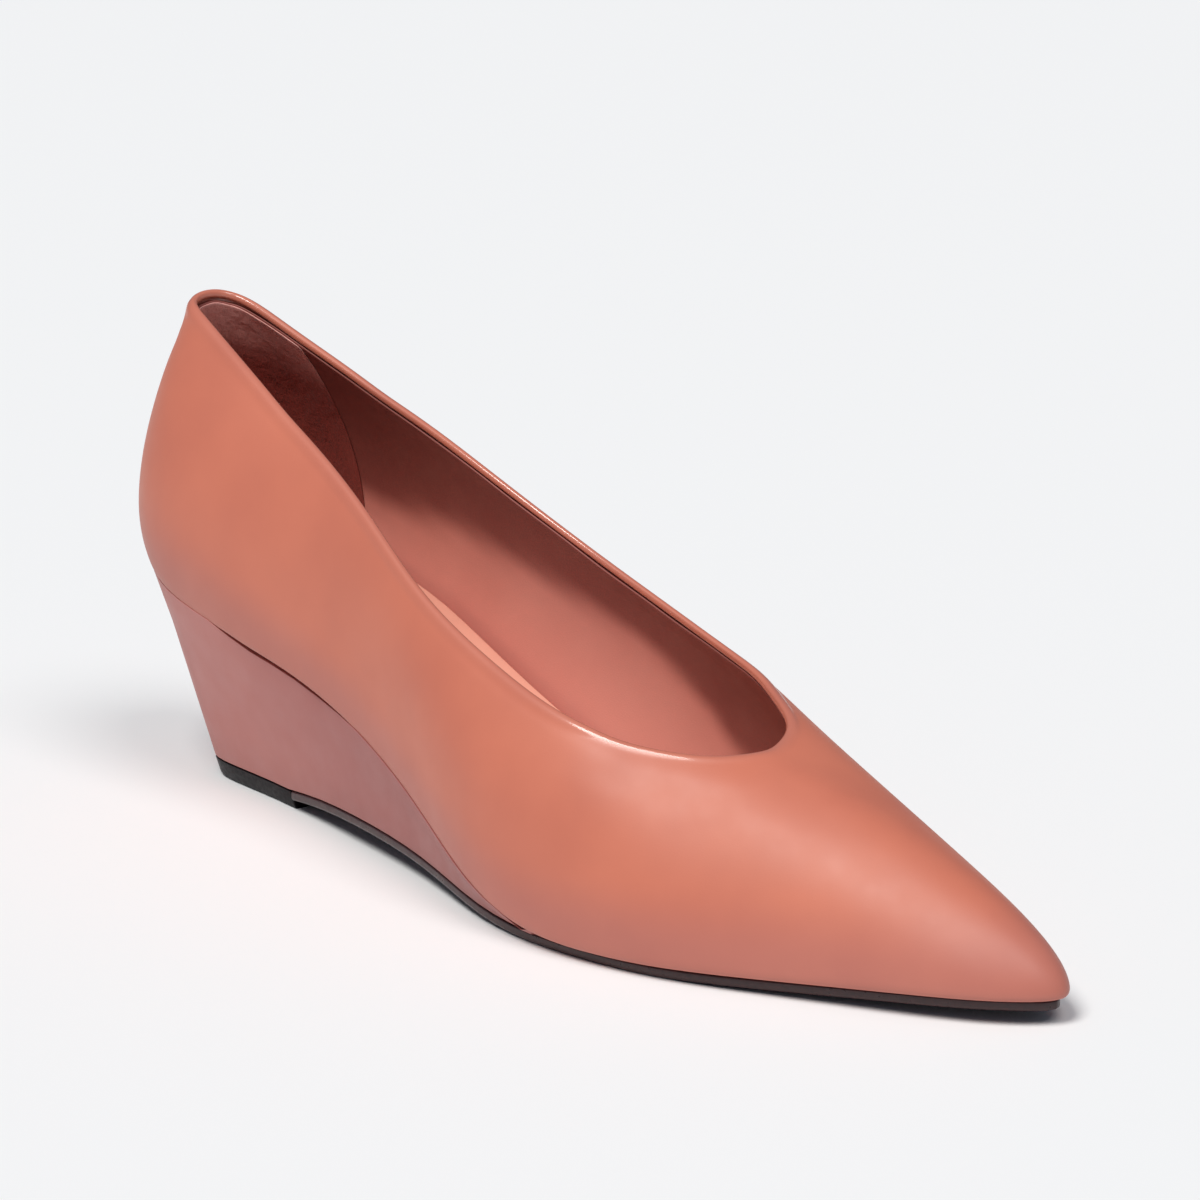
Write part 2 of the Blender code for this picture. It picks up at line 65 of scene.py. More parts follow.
# What counts as one corner, as flat and as sharp in the CAD meshes
MERGE_DISTANCE = 0.00001
QUAD_FLATNESS = math.radians(20.0)
QUAD_SKEW = math.radians(120.0)
ROUND_FROM = math.radians(30.0)     # edges that turn by more than this are rounded
SHARP_FROM = math.radians(50.0)     # edges that turn by more than this are shaded sharp
ROUND_SEGMENTS = 3

# Camera: where it stands, as angles round the shoe, how far off, and its lens
CAMERA_AZIMUTH = math.radians(49.503)
CAMERA_ELEVATION = math.radians(15.349)
CAMERA_DISTANCE = 1.26745
CAMERA_AIM = Vector((0.0104, 0.0006, 0.06102))
CAMERA_LENS = 189.48
CAMERA_SENSOR = 36.0
CAMERA_NEAR = 0.05
CAMERA_FAR = 50.0

# The folded edge of the leather at the collar
BEAD_FALL = 0.0026          # how far it reaches down inside, over the round of the edge
BEAD_SWELL = 0.00022        # how far it swells outside
BEAD_AT = 0.0016            # how far below the topline it swells most
BEAD_WIDTH = 0.0013
BEAD_THINNED = 0.00025      # how far the folded edge is skived thinner inside
THINNED_AT = 0.0010         # how far down the skiving is half of that
THINNED_WIDTH = 0.0012
GROOVE_DEPTH = 0.0009       # how far the leather falls back behind the lining's edge
GROOVE_AT = 0.0004          # how far under the folded edge it falls back most
GROOVE_WIDTH = 0.0005
TOPLINE_BLUR = 0.0002       # corners this far inside the topline still count as outside
HEEL_PEAK = 0.0005          # how far the topline stands up at the back of the heel
PEAK_REACH = 0.012          # how far the peak lies from the heel's back, and how far it reaches
PEAK_FALL = 0.005           # how far down it reaches
LINING_ROOM = 0.00045       # how far the wall's inside is drawn back for the lining

# Lining, heel grip and sock
LINING_THICKNESS = 0.00050
LINING_PROUD = 0.00012      # how far the lining's face stands proud of the wall's inside
LINING_UNDER = 0.0002       # how far its cut edge lies under the folded edge
LINING_WAVE = 0.00016       # how far its cut edge wanders
LINING_WAVES = ((1.0, 1.70, 0.0), (0.7, 0.61, 1.0))     # share, turn from rib to rib, start
GRIP_THICKNESS = 0.00035
GRIP_UNDER = 0.0004         # how far its edge lies under the folded edge
GRIP_RIBS = 9               # ribs that the heel grip reaches round each side

# How deep the lining's painted shade reaches below the topline, by the share of the shoe's length
PAINTED_SHADE_AT = (0.08, 0.16, 0.265, 0.356, 0.436, 0.489, 0.540, 0.580, 0.630, 0.730)
PAINTED_SHADE_DEPTH = (0.042, 0.039, 0.0250, 0.0185, 0.0150, 0.0145, 0.0200, 0.0310, 0.0420, 0.0480)
PAINTED_SHADE_FADE = 0.0100         # width of its soft edge

# Wedge cover
COVER_SPREAD = 0.00090      # how far its upper edge swells out to meet the upper
COVER_RISE = 0.00115        # how far it rises to touch the upper
COVER_EDGE = 0.0007         # round of its upper edge
COVER_TILT = 0.7            # how far up a face points if it is part of the wedge's top
SLIT_BACK = -0.0835         # the open slit under the upper, on the outer side
SLIT_FRONT = -0.0455
SLIT_TAPER = 0.0080         # length over which the slit closes at each end
SLIT_DROP = 0.5             # how far the slit's lip drops, as a share of the edge's rise

# Padded sock
SOCK_PADDING = 0.0026       # height of the padding over the board
SOCK_SPREAD = 0.0004        # how far the padding presses out to the lining
SOCK_EDGE = 0.0006          # round of its edge
SOCK_TILT = 0.3             # how far up a face points if it is part of the board's top

# Outsole and top piece
SOLE_EDGE = 0.00035         # round of their edges
TOP_PIECE_EDGE = 0.0004

# Soft troughs and ridges in the leather. Along is the share of the shoe's length from the heel,
# up the share of the wall from the sole to the topline; run and rise are half the mark's length
# and height in metres, side is -1 for the outer side, 1 for the inner one and 0 for both.
FOLDS = {
    "pinch under the heel's topline": {"along": 0.030, "up": 0.86, "run": 0.012, "rise": 0.0045,
                                       "side": 0, "depth": -0.00022},
    "swell of the heel's topline":    {"along": 0.060, "up": 0.965, "run": 0.040, "rise": 0.0022,
                                       "side": 0, "depth": 0.00022},
    "hollow of the quarter":          {"along": 0.300, "up": 0.62, "run": 0.045, "rise": 0.0120,
                                       "side": -1, "depth": -0.00035},
    "drape over the rear waist":      {"along": 0.200, "up": 0.20, "run": 0.035, "rise": 0.0060,
                                       "side": -1, "depth": 0.00030},
    "hollow beside the joint":        {"along": 0.520, "up": 0.30, "run": 0.030, "rise": 0.0080,
                                       "side": -1, "depth": -0.00040},
    "crease beside the throat":       {"along": 0.700, "up": 0.78, "run": 0.016, "rise": 0.0022,
                                       "side": -1, "depth": -0.00018},
    "hollow of the inner quarter":    {"along": 0.360, "up": 0.55, "run": 0.050, "rise": 0.0110,
                                       "side": 1, "depth": -0.00035},
    "dimple of the inner joint":      {"along": 0.560, "up": 0.35, "run": 0.028, "rise": 0.0070,
                                       "side": 1, "depth": -0.00030},
}
SIDE_BLEND = 0.20           # how softly a mark on one side ends at the shoe's middle
WALL_AT = (HEEL_X, 0.5 * HEEL_X, 0.0, TOE_X)
WALL_HEIGHTS = (0.057, 0.052, 0.042, 0.020)     # length of the wall from sole to topline there

# Grid of the upper's solid
UPPER_RIBS = 96             # ribs round the shoe
LONGEST_RING = 200          # more corners than any ring has
OUTSIDE_RINGS = 13          # rings down the outside, from the topline
INSIDE_RINGS = 11           # rings down the lining
OUTSIDE_LOOPS = 3           # extra rings between the second and third ring outside
INSIDE_LOOPS = 4            # extra rings between the fourth and fifth ring inside
RIM_TURN = 0.00236          # length over the round edge from the topline to the inner wall
FAR_BELOW = 1.0             # mark of corners that lie on neither face of the wall

# Surface of the leather: marks for each metre, and their depths
TONE_PATCHES = 42.0
GLOSS_PATCHES = 150.0
PORES = 5200.0
PORE_DEPTH = 0.00003
PEBBLES = 1900.0
PEBBLE_DEPTH = 0.00006
NOISE_LOW = 0.3             # most of a noise lies between these two values
NOISE_HIGH = 0.7

# Studio
FLOOR_REACH = 6.0
FLOOR_COLOUR = (0.925, 0.932, 0.936)
ROOM_COLOUR = (0.84, 0.98, 1.24)
ROOM_STRENGTH = 0.13
LIGHTS = (
    # name, azimuth, elevation, angle across, strength, colour
    ("key", 8.0, 61.0, 26.0, 2.27, (1.0, 0.978, 0.945)),
    ("side", 84.0, 61.0, 26.0, 0.90, (1.0, 0.990, 0.975)),
)


def copy_of(node):
    """A CAD node's mesh with its doubles merged."""
    bm = bmesh.new()
    bm.from_mesh(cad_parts[node].data)
    bmesh.ops.remove_doubles(bm, verts=bm.verts, dist=MERGE_DISTANCE)
    return bm


def loops_and_ribs(bm, face, rung, rib):
    """Sort the edges of a triangulated grid, from one triangle whose rung and rib are known.

    Triangles that share an edge make a parallelogram, so opposite edges run the same way. The
    triangles at irregular corners are left till last.
    """
    diagonal = next(edge for edge in face.edges if edge not in (rung, rib))
    way = {rung: "rung", rib: "rib", diagonal: "diagonal"}
    done = {face}
    order = 0
    queue = [(0, 0, face)]
    while queue:
        face = heapq.heappop(queue)[2]
        for edge in face.edges:
            other = next((near for near in edge.link_faces if near is not face), None)
            if other is None or other in done:
                continue
            done.add(other)
            for vert in edge.verts:
                across = edge.other_vert(vert)
                known = next(e for e in face.edges if across in e.verts and e is not edge)
                fresh = next(e for e in other.edges if vert in e.verts and e is not edge)
                way.setdefault(fresh, way[known])
            order += 1
            odd = sum(len(vert.link_edges) != 6 for vert in other.verts)
            heapq.heappush(queue, (odd, order, other))
    return way


def next_along(vert, edge):
    """The edge that goes straight on from an edge through a corner of quads."""
    faces = set(edge.link_faces)
    return next(e for e in vert.link_edges if not faces & set(e.link_faces))


def ring_through(start, edge):
    """Corners along the closed ring that leaves start by an edge."""
    ring = [start]
    vert = edge.other_vert(start)
    while vert is not start and len(ring) < LONGEST_RING:
        ring.append(vert)
        edge = next_along(vert, edge)
        vert = edge.other_vert(vert)
    return ring


def rings_from_topline(top, rung, rib, count):
    """Rings of the upper's grid, from the topline down one of its sides."""
    rings = [ring_through(top, rung)]
    for _ in range(count):
        face = next(f for f in rung.link_faces if rib in f.edges)
        top = rib.other_vert(top)
        rung = next(e for e in face.edges if top in e.verts and e is not rib)
        rings.append(ring_through(top, rung))
        rib = next_along(top, rib)
    return rings


def highest(bm):
    """The topline's highest corner."""
    return max(bm.verts, key=lambda vert: vert.co.z)


def collar_start(bm):
    """The topline's highest corner, its edge to the outer side, and its edges out and in."""
    top = highest(bm)
    across = sorted(top.link_edges, key=lambda e: abs(e.other_vert(top).co.y - top.co.y))
    rung = min(across[2:], key=lambda e: e.other_vert(top).co.y)
    rib_in, rib_out = sorted(across[:2], key=lambda e: -e.other_vert(top).co.x)
    return top, rung, rib_out, rib_in


def upper_cage():
    """The upper as a cage of quads."""
    bm = copy_of("upper")
    # the last layer carries the lining's painted shade along the topline
    for name in ("below", "up", "side", "painted_shade"):
        bm.verts.layers.float.new(name)
    top = highest(bm)
    rung = max(top.link_edges, key=lambda e: abs(e.other_vert(top).co.y - top.co.y) / e.calc_length())
    face = rung.link_faces[0]
    rib = min((e for e in face.edges if e is not rung), key=lambda e: e.calc_length())
    way = loops_and_ribs(bm, face, rung, rib)
    spare = [edge for edge, kind in way.items() if kind == "diagonal"]
    bmesh.ops.dissolve_edges(bm, edges=spare, use_verts=False, use_face_split=False)
    left = [e for e in bm.edges if all(len(f.verts) == 3 for f in e.link_faces)]
    bmesh.ops.dissolve_edges(bm, edges=left, use_verts=False, use_face_split=False)
    return bm


def length_along(rings, number):
    """How far a corner's rib has run from the topline to each ring."""
    spots = [ring[number].co for ring in rings]
    steps = [(b - a).length for a, b in zip(spots, spots[1:])]
    return np.concatenate([[0.0], np.cumsum(steps)])


def mark_wall(bm, outside, inside):
    """Write on each corner how far it lies below the topline, less than nothing inside, its share
    of the way up the wall, and its side of the shoe."""
    below, up, side = (bm.verts.layers.float[name] for name in ("below", "up", "side"))
    for vert in bm.verts:
        vert[below] = FAR_BELOW
    for rings, sign in ((outside, 1.0), (inside, -1.0)):
        for number in range(len(rings[0])):
            fall = length_along(rings, number)
            for ring, distance in zip(rings, fall):
                ring[number][below] = sign * distance
                ring[number][up] = 1.0 - distance / fall[-1]
                half = len(ring) / 2
                ring[number][side] = -math.sin(math.pi * number / half)


def add_loops(bm, ring, next_ring, cuts):
    """Extra rings between two rings."""
    edges = [bm.edges.get(pair) for pair in zip(ring, next_ring)]
    bmesh.ops.subdivide_edges(bm, edges=edges, cuts=cuts, use_grid_fill=True)


def set_piece(bm, name, node, material):
    """A finished piece from a mesh: smooth, on the shoe's body, in place of its CAD node."""
    mesh = bpy.data.meshes.new(name)
    bm.to_mesh(mesh)
    bm.free()
    mesh.shade_smooth()
    piece = bpy.data.objects.new(name, mesh)
    bpy.context.scene.collection.objects.link(piece)
    mesh.materials.append(material)
    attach(piece, "root")
    if node:
        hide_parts(node)
    return piece


def subdivide_for_good(piece, levels):
    """Subdivide a piece's own mesh, so that its corners can be moved."""
    smooth = piece.modifiers.new("smooth", "SUBSURF")
    smooth.levels = smooth.render_levels = levels
    ready = piece.evaluated_get(bpy.context.evaluated_depsgraph_get())
    mesh = bpy.data.meshes.new_from_object(ready)
    mesh.name = piece.name
    piece.modifiers.clear()
    piece.data = mesh
    mesh.shade_smooth()


def values_of(mesh, name):
    """A mesh's corner attribute as an array."""
    values = np.zeros(len(mesh.vertices), np.float32)
    mesh.attributes[name].data.foreach_get("value", values)
    return values.astype(float)


def places_and_normals(mesh):
    """A mesh's corners and their normals as arrays."""
    places = np.zeros(3 * len(mesh.vertices), np.float32)
    normals = np.zeros(3 * len(mesh.vertices), np.float32)
    mesh.vertices.foreach_get("co", places)
    mesh.vertex_normals.foreach_get("vector", normals)
    return places.reshape(-1, 3).astype(float), normals.reshape(-1, 3).astype(float)


def hill(distance, width):
    """A soft hill, one high at its middle."""
    return np.exp(-(distance / width) ** 2)


def step_up(distance, width):
    """A soft step from 0 to 1 over a width."""
    part = np.clip(distance / width + 0.5, 0.0, 1.0)
    return part * part * (3.0 - 2.0 * part)


def fold_relief(places, up, side):
    """How far the soft troughs and ridges move the leather out."""
    wall = np.interp(places[:, 0], WALL_AT, WALL_HEIGHTS)
    relief = np.zeros(len(places))
    for fold in FOLDS.values():
        along = places[:, 0] - (HEEL_X + fold["along"] * SHOE_LENGTH)
        rise = (up - fold["up"]) * wall
        mark = hill(along, fold["run"]) * hill(rise, fold["rise"])
        if fold["side"]:
            mark = mark * step_up(fold["side"] * side - SIDE_BLEND / 2, SIDE_BLEND)
        relief += fold["depth"] * mark
    return relief


def leather_relief(mesh):
    """How far each corner of the leather moves along its normal."""
    places, _ = places_and_normals(mesh)
    below = values_of(mesh, "below")
    up = values_of(mesh, "up")
    side = values_of(mesh, "side")
    outside = (below > -TOPLINE_BLUR) & (below < FAR_BELOW / 2)
    relief = np.where(outside, fold_relief(places, up, side), 0.0)
    relief += np.where(outside, BEAD_SWELL * hill(below - BEAD_AT, BEAD_WIDTH), 0.0)
    fall = -below
    relief -= np.where(below < 0.0, BEAD_THINNED * step_up(fall - THINNED_AT, THINNED_WIDTH), 0.0)
    behind = step_up(fall - BEAD_FALL, GROOVE_WIDTH)
    groove = (GROOVE_DEPTH - LINING_ROOM) * hill(fall - BEAD_FALL - GROOVE_AT, GROOVE_WIDTH)
    return relief - np.where(below < 0.0, behind * LINING_ROOM + groove, 0.0)


def make_upper(material):
    """The leather, its folded topline edge and the soft forms of its wall."""
    bm, _ = prepared_cage()
    piece = set_piece(bm, "upper_leather_shell", "upper", material)
    subdivide_for_good(piece, 2)
    mesh = piece.data
    relief = leather_relief(mesh)
    places, normals = places_and_normals(mesh)
    places += normals * relief[:, None]
    peak = hill(places[:, 0] - HEEL_X - PEAK_REACH, PEAK_REACH)
    peak = peak * hill(values_of(mesh, "below"), PEAK_FALL)
    places[:, 2] += HEEL_PEAK * peak
    mesh.vertices.foreach_set("co", places.astype(np.float32).ravel())
    mesh.update()


def collar_rings(bm, extra_outside, extra_inside):
    """Rings down the outside and down the lining, from the topline."""
    top, rung, rib_out, rib_in = collar_start(bm)
    outside = rings_from_topline(top, rung, rib_out, OUTSIDE_RINGS + extra_outside)
    inside = rings_from_topline(top, rung, rib_in, INSIDE_RINGS + extra_inside)
    return outside, inside


def prepared_cage():
    """The upper's cage with its topline loops and its marks, and its rings down the lining."""
    bm = upper_cage()
    outside, _ = collar_rings(bm, 0, 0)
    add_loops(bm, outside[1], outside[2], OUTSIDE_LOOPS)
    _, inside = collar_rings(bm, OUTSIDE_LOOPS, 0)
    add_loops(bm, inside[3], inside[4], INSIDE_LOOPS)
    outside, inside = collar_rings(bm, OUTSIDE_LOOPS, INSIDE_LOOPS)
    mark_wall(bm, outside, inside)
    return bm, inside


def lining_sheet(ribs, fall_of_edge):
    """The inside of the wall as a sheet, from the folded edge down, over some of the ribs."""
    bm, inside = prepared_cage()
    lining = inside[3:]
    count = len(lining[0])
    kept = {ring[number % count] for ring in lining for number in ribs}
    for number in range(count):
        top, lower = lining[0][number], lining[1][number]
        wave = sum(share * math.sin(turn * number + start) for share, turn, start in LINING_WAVES)
        fall = fall_of_edge + LINING_WAVE * wave
        top.co = top.co.lerp(lower.co, fall / (lower.co - top.co).length)
    spare = [face for face in bm.faces if not all(vert in kept for vert in face.verts)]
    bmesh.ops.delete(bm, geom=spare, context="FACES")
    return bm


def move_corners(moves):
    """Move corners, once all their moves are known."""
    for vert, move in moves:
        vert.co += move


def raise_sheet(bm, height):
    """Move a sheet along its normals."""
    bm.normal_update()
    move_corners([(vert, vert.normal * height) for vert in bm.verts])


def thicken(piece, thickness):
    """Give a sheet its thickness towards the wall, and round it."""
    solid = piece.modifiers.new("thickness", "SOLIDIFY")
    solid.thickness = thickness
    solid.offset = -1.0
    smooth = piece.modifiers.new("smooth", "SUBSURF")
    smooth.levels = smooth.render_levels = 2


def mark_painted_shade(bm):
    """Write on each corner of the lining how far painted shade darkens it."""
    below, painted_shade = (bm.verts.layers.float[name] for name in ("below", "painted_shade"))
    for vert in bm.verts:
        along = (vert.co.x - HEEL_X) / SHOE_LENGTH
        depth = np.interp(along, PAINTED_SHADE_AT, PAINTED_SHADE_DEPTH)
        # painted shade: 1 in the band under the topline, fading to 0 below it
        vert[painted_shade] = 1.0 - float(step_up(-vert[below] - depth, PAINTED_SHADE_FADE))


def make_lining(material):
    """The lining, whose cut edge lies just under the folded edge of the leather."""
    bm = lining_sheet(range(UPPER_RIBS), BEAD_FALL - RIM_TURN + LINING_UNDER)
    # painted shade: mark the dark band along the lining's topline
    mark_painted_shade(bm)
    raise_sheet(bm, LINING_PROUD)
    piece = set_piece(bm, "lining_sheet", None, material)
    thicken(piece, LINING_THICKNESS)


def make_heel_grip(material):
    """The grip round the back of the heel, over the lining."""
    ribs = range(-GRIP_RIBS, GRIP_RIBS + 1)
    bm = lining_sheet(ribs, BEAD_FALL - RIM_TURN + GRIP_UNDER)
    raise_sheet(bm, LINING_PROUD + GRIP_THICKNESS)
    piece = set_piece(bm, "heel_grip", None, material)
    thicken(piece, GRIP_THICKNESS)


def joined_quads(bm):
    """Join a copy's triangles into quads."""
    bmesh.ops.join_triangles(bm, faces=bm.faces, cmp_seam=False, cmp_sharp=False, cmp_uvs=False,
                             cmp_vcols=False, cmp_materials=False,
                             angle_face_threshold=QUAD_FLATNESS,
                             angle_shape_threshold=QUAD_SKEW)


def rounded(bm, width):
    """Round the edges where two faces turn sharply."""
    sharp = [e for e in bm.edges if e.is_manifold and e.calc_face_angle(0.0) > ROUND_FROM]
    bmesh.ops.bevel(bm, geom=sharp, offset=width, segments=ROUND_SEGMENTS, profile=0.5,
                    affect="EDGES", material=-1, clamp_overlap=True)


def make_plate(node, name, width, material):
    """A plate of the sole with rounded edges."""
    bm = copy_of(node)
    joined_quads(bm)
    rounded(bm, width)
    piece = set_piece(bm, name, node, material)
    piece.data.set_sharp_from_angle(angle=SHARP_FROM)


def make_sock(material):
    """The padded sock over the board."""
    bm = copy_of("insole")
    joined_quads(bm)
    bm.normal_update()
    high = {vert for face in bm.faces if face.normal.z > SOCK_TILT for vert in face.verts}
    moves = []
    for vert in high:
        outward = Vector((vert.normal.x, vert.normal.y, 0.0))
        moves.append((vert, Vector((0.0, 0.0, SOCK_PADDING)) + SOCK_SPREAD * outward))
    move_corners(moves)
    rounded(bm, SOCK_EDGE)
    piece = set_piece(bm, "sock", "insole", material)
    piece.data.set_sharp_from_angle(angle=SHARP_FROM)


def share_of_swell(spot):
    """How much of its swell the wedge cover's edge keeps at a place. In the slit it drops."""
    if spot.y >= 0.0:
        return 1.0
    open_back = step_up(spot.x - SLIT_BACK, SLIT_TAPER)
    open_front = step_up(SLIT_FRONT - spot.x, SLIT_TAPER)
    return 1.0 - (1.0 + SLIT_DROP) * float(open_back * open_front)


def make_wedge(material):
    """The wedge's leather cover, whose upper edge swells out to the upper but for a slit."""
    bm = copy_of("wedge")
    joined_quads(bm)
    bm.normal_update()
    top_faces = [face for face in bm.faces if face.normal.z > COVER_TILT]
    rim = {vert for face in top_faces for vert in face.verts}
    moves = []
    for vert in rim:
        beside = [face.normal for face in vert.link_faces if abs(face.normal.z) < COVER_TILT]
        if not beside:
            continue
        outward = sum(beside, Vector()).normalized()
        outward.z = 0.0
        swell = COVER_SPREAD * outward + Vector((0.0, 0.0, COVER_RISE))
        moves.append((vert, share_of_swell(vert.co) * swell))
    move_corners(moves)
    rounded(bm, COVER_EDGE)
    piece = set_piece(bm, "wedge_cover", "wedge", material)
    piece.data.set_sharp_from_angle(angle=SHARP_FROM)


def new_material(name, colour, roughness):
    """A material with its shader and a place for its nodes."""
    material = bpy.data.materials.new(name)
    material.use_nodes = True
    shader = material.node_tree.nodes["Principled BSDF"]
    shader.inputs["Base Color"].default_value = (*colour, 1.0)
    shader.inputs["Roughness"].default_value = roughness
    return material, material.node_tree, shader


def noise(tree, scale, detail=3.0):
    """Noise over the shoe's own coordinates; scale is in turns per metre."""
    place = tree.nodes.new("ShaderNodeTexCoord")
    texture = tree.nodes.new("ShaderNodeTexNoise")
    texture.inputs["Scale"].default_value = scale
    texture.inputs["Detail"].default_value = detail
    tree.links.new(place.outputs["Object"], texture.inputs["Vector"])
    return texture.outputs["Fac"]


def cells(tree, scale):
    """Pebbles of leather grain over the shoe's own coordinates."""
    place = tree.nodes.new("ShaderNodeTexCoord")
    texture = tree.nodes.new("ShaderNodeTexVoronoi")
    texture.feature = "DISTANCE_TO_EDGE"
    texture.inputs["Scale"].default_value = scale
    tree.links.new(place.outputs["Object"], texture.inputs["Vector"])
    return texture.outputs["Distance"]


def between(tree, value, low, high):
    """The middle of a noise's values, spread from low to high."""
    spread = tree.nodes.new("ShaderNodeMapRange")
    spread.inputs["From Min"].default_value = NOISE_LOW
    spread.inputs["From Max"].default_value = NOISE_HIGH
    spread.inputs["To Min"].default_value = low
    spread.inputs["To Max"].default_value = high
    tree.links.new(value, spread.inputs["Value"])
    return spread.outputs["Result"]


def two_tones(tree, value, first, second):
    """A colour between two tones."""
    mix = tree.nodes.new("ShaderNodeMix")
    mix.data_type = "RGBA"
    mix.inputs["A"].default_value = (*first, 1.0)
    mix.inputs["B"].default_value = (*second, 1.0)
    tree.links.new(value, mix.inputs["Factor"])
    return mix.outputs["Result"]


def bump(tree, height, strength, distance, below=None):
    """A bump over another one."""
    relief = tree.nodes.new("ShaderNodeBump")
    relief.inputs["Strength"].default_value = strength
    relief.inputs["Distance"].default_value = distance
    tree.links.new(height, relief.inputs["Height"])
    if below is not None:
        tree.links.new(below, relief.inputs["Normal"])
    return relief.outputs["Normal"]


def leather(name, tone, deeper_tone, roughness, grain):
    """Smooth leather: two close tones, fine pebbles and a soft gloss."""
    material, tree, shader = new_material(name, tone, roughness[0])
    tones = two_tones(tree, between(tree, noise(tree, TONE_PATCHES), 0.0, 1.0), tone, deeper_tone)
    tree.links.new(tones, shader.inputs["Base Color"])
    gloss = between(tree, noise(tree, GLOSS_PATCHES), *roughness)
    tree.links.new(gloss, shader.inputs["Roughness"])
    pores = bump(tree, noise(tree, PORES, 2.0), 0.5 * grain, PORE_DEPTH)
    pebbles = bump(tree, cells(tree, PEBBLES), grain, PEBBLE_DEPTH, pores)
    tree.links.new(pebbles, shader.inputs["Normal"])
    return material


def marked(tree, mark, start, end, low, high):
    """A value that goes from low to high as a piece's own mark goes from start to end."""
    own = tree.nodes.new("ShaderNodeAttribute")
    own.attribute_name = mark
    spread = tree.nodes.new("ShaderNodeMapRange")
    spread.interpolation_type = "SMOOTHSTEP"
    spread.inputs["From Min"].default_value = start
    spread.inputs["From Max"].default_value = end
    spread.inputs["To Min"].default_value = low
    spread.inputs["To Max"].default_value = high
    tree.links.new(own.outputs["Fac"], spread.inputs["Value"])
    return spread.outputs["Result"]


def towards_toe(tree, start, end):
    """A value that goes from 0 to 1 as the shoe's length goes from start to end."""
    place = tree.nodes.new("ShaderNodeTexCoord")
    apart = tree.nodes.new("ShaderNodeSeparateXYZ")
    spread = tree.nodes.new("ShaderNodeMapRange")
    spread.interpolation_type = "SMOOTHSTEP"
    spread.inputs["From Min"].default_value = start
    spread.inputs["From Max"].default_value = end
    tree.links.new(place.outputs["Object"], apart.inputs["Vector"])
    tree.links.new(apart.outputs["X"], spread.inputs["Value"])
    return spread.outputs["Result"]


def painted_shade(material, share, tint):
    """Paint shade into a material's colour: tint it by a share of its own marks."""
    tree = material.node_tree
    shader = tree.nodes["Principled BSDF"]
    plain = shader.inputs["Base Color"].links[0].from_socket
    mix = tree.nodes.new("ShaderNodeMix")
    mix.data_type = "RGBA"
    mix.blend_type = "MULTIPLY"
    mix.inputs["B"].default_value = (*tint, 1.0)
    tree.links.new(plain, mix.inputs["A"])
    tree.links.new(share, mix.inputs["Factor"])
    tree.links.new(mix.outputs["Result"], shader.inputs["Base Color"])


def upper_leather():
    """The upper's leather, mauver low on the wall by painted cool shade, polished where it folds over
    the topline.
    """
    material = leather("terracotta leather", tone=(0.655, 0.196, 0.120),
                       deeper_tone=(0.590, 0.172, 0.108), roughness=(0.455, 0.515), grain=0.20)
    tree = material.node_tree
    shader = tree.nodes["Principled BSDF"]
    shader.inputs["Coat Roughness"].default_value = 0.14
    shader.inputs["Coat IOR"].default_value = 1.7
    # painted shade: cool mauve tint low on the wall, where the wall faces down
    painted_shade_low_wall = marked(tree, "up", start=0.08, end=0.36, low=1.0, high=0.0)
    painted_shade(material, painted_shade_low_wall, tint=(0.86, 0.94, 1.12))
    fold = marked(tree, "below", start=0.0004, end=0.0040, low=1.0, high=0.0)
    tree.links.new(fold, shader.inputs["Coat Weight"])
    return material


def lining_leather():
    """The lining's leather, darkened along the topline by painted shade."""
    material = leather("lining leather", tone=(0.79, 0.325, 0.260),
                       deeper_tone=(0.73, 0.285, 0.228), roughness=(0.44, 0.56), grain=0.5)
    # painted shade: darken the lining's band under the topline
    painted_shade_band = marked(material.node_tree, "painted_shade", start=0.0, end=1.0, low=0.0, high=1.0)
    painted_shade(material, painted_shade_band, tint=(0.38, 0.26, 0.26))
    return material


def grip_suede():
    """The heel grip's napped leather, darkened at its foot by painted shade deep in the heel cup, with a
    soft crushed gloss.
    """
    material = leather("heel grip suede", tone=(0.90, 0.450, 0.390),
                       deeper_tone=(0.58, 0.230, 0.195), roughness=(0.30, 0.50), grain=0.9)
    tree = material.node_tree
    shader = tree.nodes["Principled BSDF"]
    grain = shader.inputs["Normal"].links[0].from_socket
    wrinkles = bump(tree, noise(tree, 170.0, 5.0), strength=0.7, distance=0.0022, below=grain)
    tree.links.new(wrinkles, shader.inputs["Normal"])
    # painted shade: darker towards the grip's foot, deep in the heel cup
    painted_shade_foot = marked(tree, "below", start=-0.019, end=-0.004, low=1.0, high=0.0)
    painted_shade(material, painted_shade_foot, tint=(0.42, 0.19, 0.17))
    shader.inputs["Sheen Weight"].default_value = 0.15
    shader.inputs["Sheen Roughness"].default_value = 0.4
    shader.inputs["Sheen Tint"].default_value = (0.9, 0.55, 0.5, 1.0)
    return material


def sock_leather():
    """The padded sock's leather, lighter than the lining, and lighter than the upper's leather as
    painted light on its upward face.
    """
    # painted light: tones lighter than the upper's leather, for the light falling on the sock from above
    return leather("sock leather", tone=(0.84, 0.410, 0.300), deeper_tone=(0.79, 0.370, 0.270),
                   roughness=(0.42, 0.52), grain=0.3)


def wedge_leather():
    """The wedge cover's leather, darkened towards its thin front end by painted shade under the
    overhanging forepart.
    """
    material = leather("wedge leather", tone=(0.530, 0.195, 0.168),
                       deeper_tone=(0.490, 0.175, 0.152), roughness=(0.42, 0.54), grain=0.25)
    # painted shade: darker towards the wedge's front, under the forepart
    painted_shade_front = towards_toe(material.node_tree, start=-0.090, end=-0.030)
    painted_shade(material, painted_shade_front, tint=(0.76, 0.70, 0.72))
    return material


